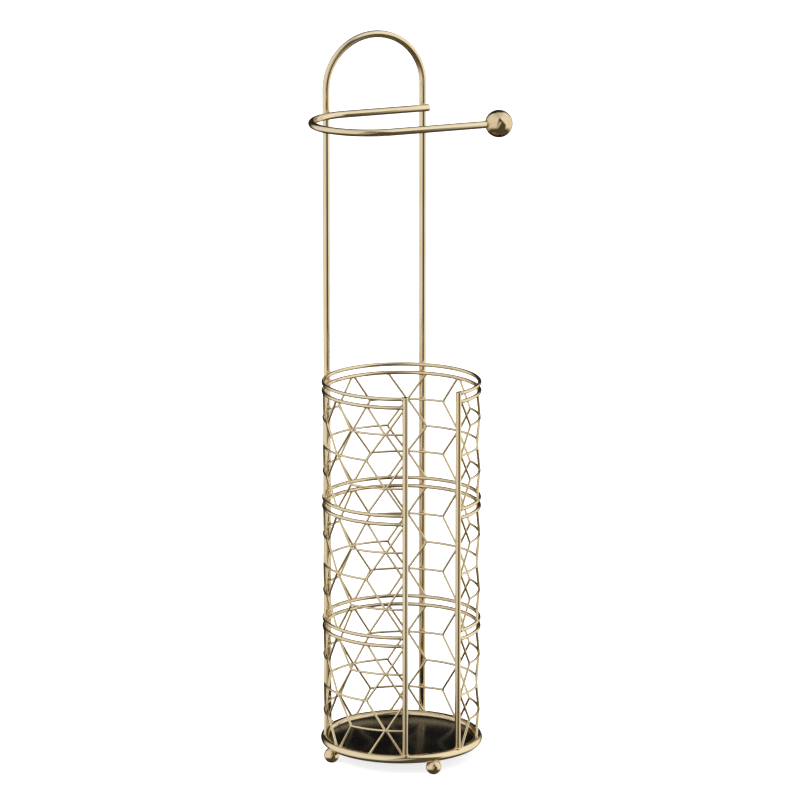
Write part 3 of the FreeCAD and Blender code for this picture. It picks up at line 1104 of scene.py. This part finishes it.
class Studio:
    """What the metal shows all round: soft boxes on both sides and above, with darkness between them."""

    GAP_APEX = math.radians(81)
    GAP_RIGHT_SLOPE = 0.69
    GAP_LEFT_SLOPE = 0.25
    SLIT_SLOPE = 0.55
    SIDE_TURN = (math.radians(-20), math.radians(60))
    OVERHEAD_RISE = (math.radians(40), math.radians(85))

    def __init__(self, tree):
        self.tree = tree
        around = tree.nodes.new("ShaderNodeTexCoord")
        turned = tree.nodes.new("ShaderNodeVectorRotate")
        turned.rotation_type = "Z_AXIS"
        turned.inputs["Angle"].default_value = stage().azimuth
        tree.links.new(around.outputs["Generated"], turned.inputs["Vector"])
        split = tree.nodes.new("ShaderNodeSeparateXYZ")
        tree.links.new(turned.outputs["Vector"], split.inputs["Vector"])
        ahead = self.worked("MULTIPLY", split.outputs["Y"], -1.0)
        self.azimuth = self.worked("ARCTAN2", split.outputs["X"], ahead)
        self.elevation = self.worked("ARCSINE", split.outputs["Z"])

    def worked(self, operation, first, second=0.0):
        return worked(self.tree, operation, first, second)

    def beyond(self, value, edge, soft):
        """Rise softly from zero to one where a value passes an edge."""
        return ranged(self.tree, value, edge - soft, edge + soft, easing="SMOOTHSTEP")

    def reach(self, apex, slope, widest):
        """Reach of the gap to one side, which narrows upwards."""
        room = self.worked("SUBTRACT", apex, self.elevation)
        return self.worked("MINIMUM", self.worked("MULTIPLY", room, slope), widest)

    def gap(self):
        """One in the wedge between the boxes in front, which closes upwards and has a bright slit in it."""
        soft = stage().soft_edge
        right = self.reach(self.GAP_APEX, self.GAP_RIGHT_SLOPE, stage().gap_right)
        left = self.reach(stage().gap_top, self.GAP_LEFT_SLOPE, stage().gap_left)
        inside = self.worked(
            "MULTIPLY",
            self.beyond(self.worked("SUBTRACT", right, self.azimuth), 0.0, soft),
            self.beyond(self.worked("ADD", left, self.azimuth), 0.0, soft),
        )
        room = self.worked("SUBTRACT", stage().gap_top, self.elevation)
        inside = self.worked("MULTIPLY", inside, self.beyond(room, 0.0, soft))
        lean = self.worked("MULTIPLY", self.elevation, self.SLIT_SLOPE)
        aside = self.worked("ABSOLUTE", self.worked("SUBTRACT", self.azimuth, lean))
        off_slit = self.beyond(aside, stage().slit_half, soft / 2)
        above_slit = self.beyond(self.elevation, stage().slit_top, soft)
        shut = self.worked("MAXIMUM", self.worked("MAXIMUM", off_slit, above_slit), 1.0 - stage().slit_light)
        return self.worked("MULTIPLY", inside, shut)

    def behind(self):
        """One in the darkness behind the object, up to a height."""
        soft = stage().soft_back
        leftwards = self.worked("MULTIPLY", self.azimuth, -1.0)
        sides = self.worked(
            "MAXIMUM",
            self.beyond(leftwards, stage().back_left, soft),
            self.beyond(self.azimuth, stage().back_right, soft),
        )
        room = self.worked("SUBTRACT", stage().back_top, self.elevation)
        return self.worked("MULTIPLY", sides, self.beyond(room, 0.0, soft))

    def colour(self):
        """White on the boxes, and the tone of the surround in the gap and on the ground."""
        clear = self.worked("SUBTRACT", 1.0, self.gap())
        above_ground = self.beyond(self.elevation, stage().ground_edge, stage().soft_back)
        light = self.worked("MULTIPLY", clear, above_ground)
        return tinted(self.tree, light, colours().dark_surround, WHITE[:3])

    def strength(self):
        """Brightness of the boxes, less on the left and overhead, and of the back."""
        side = ranged(self.tree, self.azimuth, *self.SIDE_TURN, stage().left_share, 1.0, "SMOOTHSTEP")
        overhead = stage().overhead_share
        rise = ranged(self.tree, self.elevation, *self.OVERHEAD_RISE, 1.0, overhead, "SMOOTHSTEP")
        boxes = self.worked("MULTIPLY", self.worked("MULTIPLY", side, rise), stage().box_light)
        dimmed = ranged(self.tree, self.behind(), 0.0, 1.0, 1.0, stage().back_light)
        return self.worked("MULTIPLY", boxes, dimmed)


def background(tree, tone, strength):
    """A background of a colour and a strength, each an output or a plain value."""
    node = tree.nodes.new("ShaderNodeBackground")
    feed(tree, node.inputs["Color"], tone)
    feed(tree, node.inputs["Strength"], strength)
    return node.outputs["Background"]


def chosen(tree, factor, first, second):
    """The first shader where a factor is zero, and the second where it is one."""
    mix = tree.nodes.new("ShaderNodeMixShader")
    for socket, source in zip(mix.inputs, (factor, first, second)):
        tree.links.new(source, socket)
    return mix.outputs["Shader"]


def set_world():
    """White background, even light, and a studio with dark gaps that only the metal shows."""
    world = bpy.data.worlds.new("studio")
    bpy.context.scene.world = world
    world.use_nodes = True
    world.cycles.sampling_method = "NONE"
    tree = world.node_tree
    tree.nodes.clear()
    studio = Studio(tree)
    mirrored = background(tree, studio.colour(), studio.strength())
    even = background(tree, WHITE, stage().world_light)
    around = chosen(tree, ray_kind(tree, "Is Glossy Ray"), even, mirrored)
    seen = ray_kind(tree, "Is Camera Ray", "Is Transmission Ray")
    surface = chosen(tree, seen, around, background(tree, WHITE, 1.0))
    output = tree.nodes.new("ShaderNodeOutputWorld")
    tree.links.new(surface, output.inputs["Surface"])


class BuildStage(bpy.types.Operator):
    """Set the floor, the lamps, the world and the camera"""

    bl_idname = "holder.stage"
    bl_label = "Stage"

    KEY_AWAY = 2.0
    KEY_HEIGHT = 3.1
    TOP_PLACE = (0.3, 0.4, 3.2)

    def execute(self, context):
        back, right, _ = camera_axes()
        set_floor()
        set_world()
        key_place = (back - right) * self.KEY_AWAY
        key_place.z = self.KEY_HEIGHT
        add_lamp("key_lamp", key_place, stage().key_size)
        add_lamp("top_lamp", self.TOP_PLACE, stage().top_size)
        set_camera()
        context.scene.view_settings.view_transform = "Standard"
        return {"FINISHED"}


class HolderPanel(bpy.types.Panel):
    """Sizes, finishes and pieces of the holder"""

    bl_idname = "VIEW3D_PT_wire_holder"
    bl_label = "Wire holder"
    bl_space_type = "VIEW_3D"
    bl_region_type = "UI"
    bl_category = "Wire holder"

    def draw(self, context):
        for group in (sizes(), colours(), stage()):
            column = self.layout.column(align=True)
            for name in group.bl_rna.properties.keys():
                if name not in ("name", "rna_type"):
                    column.prop(group, name)
        for operator in OPERATORS:
            self.layout.operator(operator.bl_idname)


GROUPS = {"holder_sizes": HolderSizes, "holder_colours": HolderColours, "holder_stage": HolderStage}
OPERATORS = (
    BuildHoop, BuildArm, BuildBall, BuildRings, BuildPosts, BuildBaseRing,
    BuildPlate, BuildFeet, BuildLattice, BuildWelds, BuildStage,
)


def register():
    for name, group in GROUPS.items():
        bpy.utils.register_class(group)
        setattr(bpy.types.Scene, name, PointerProperty(type=group))
    for item in (*OPERATORS, HolderPanel):
        bpy.utils.register_class(item)


def unregister():
    for item in (HolderPanel, *reversed(OPERATORS)):
        bpy.utils.unregister_class(item)
    for name, group in GROUPS.items():
        delattr(bpy.types.Scene, name)
        bpy.utils.unregister_class(group)


def main():
    register()
    bpy.ops.holder.hoop()
    bpy.ops.holder.arm()
    bpy.ops.holder.ball()
    bpy.ops.holder.rings()
    bpy.ops.holder.posts()
    bpy.ops.holder.base_ring()
    bpy.ops.holder.plate()
    bpy.ops.holder.feet()
    bpy.ops.holder.lattice()
    bpy.ops.holder.welds()
    bpy.ops.holder.stage()


if __name__ == "__main__":
    main()
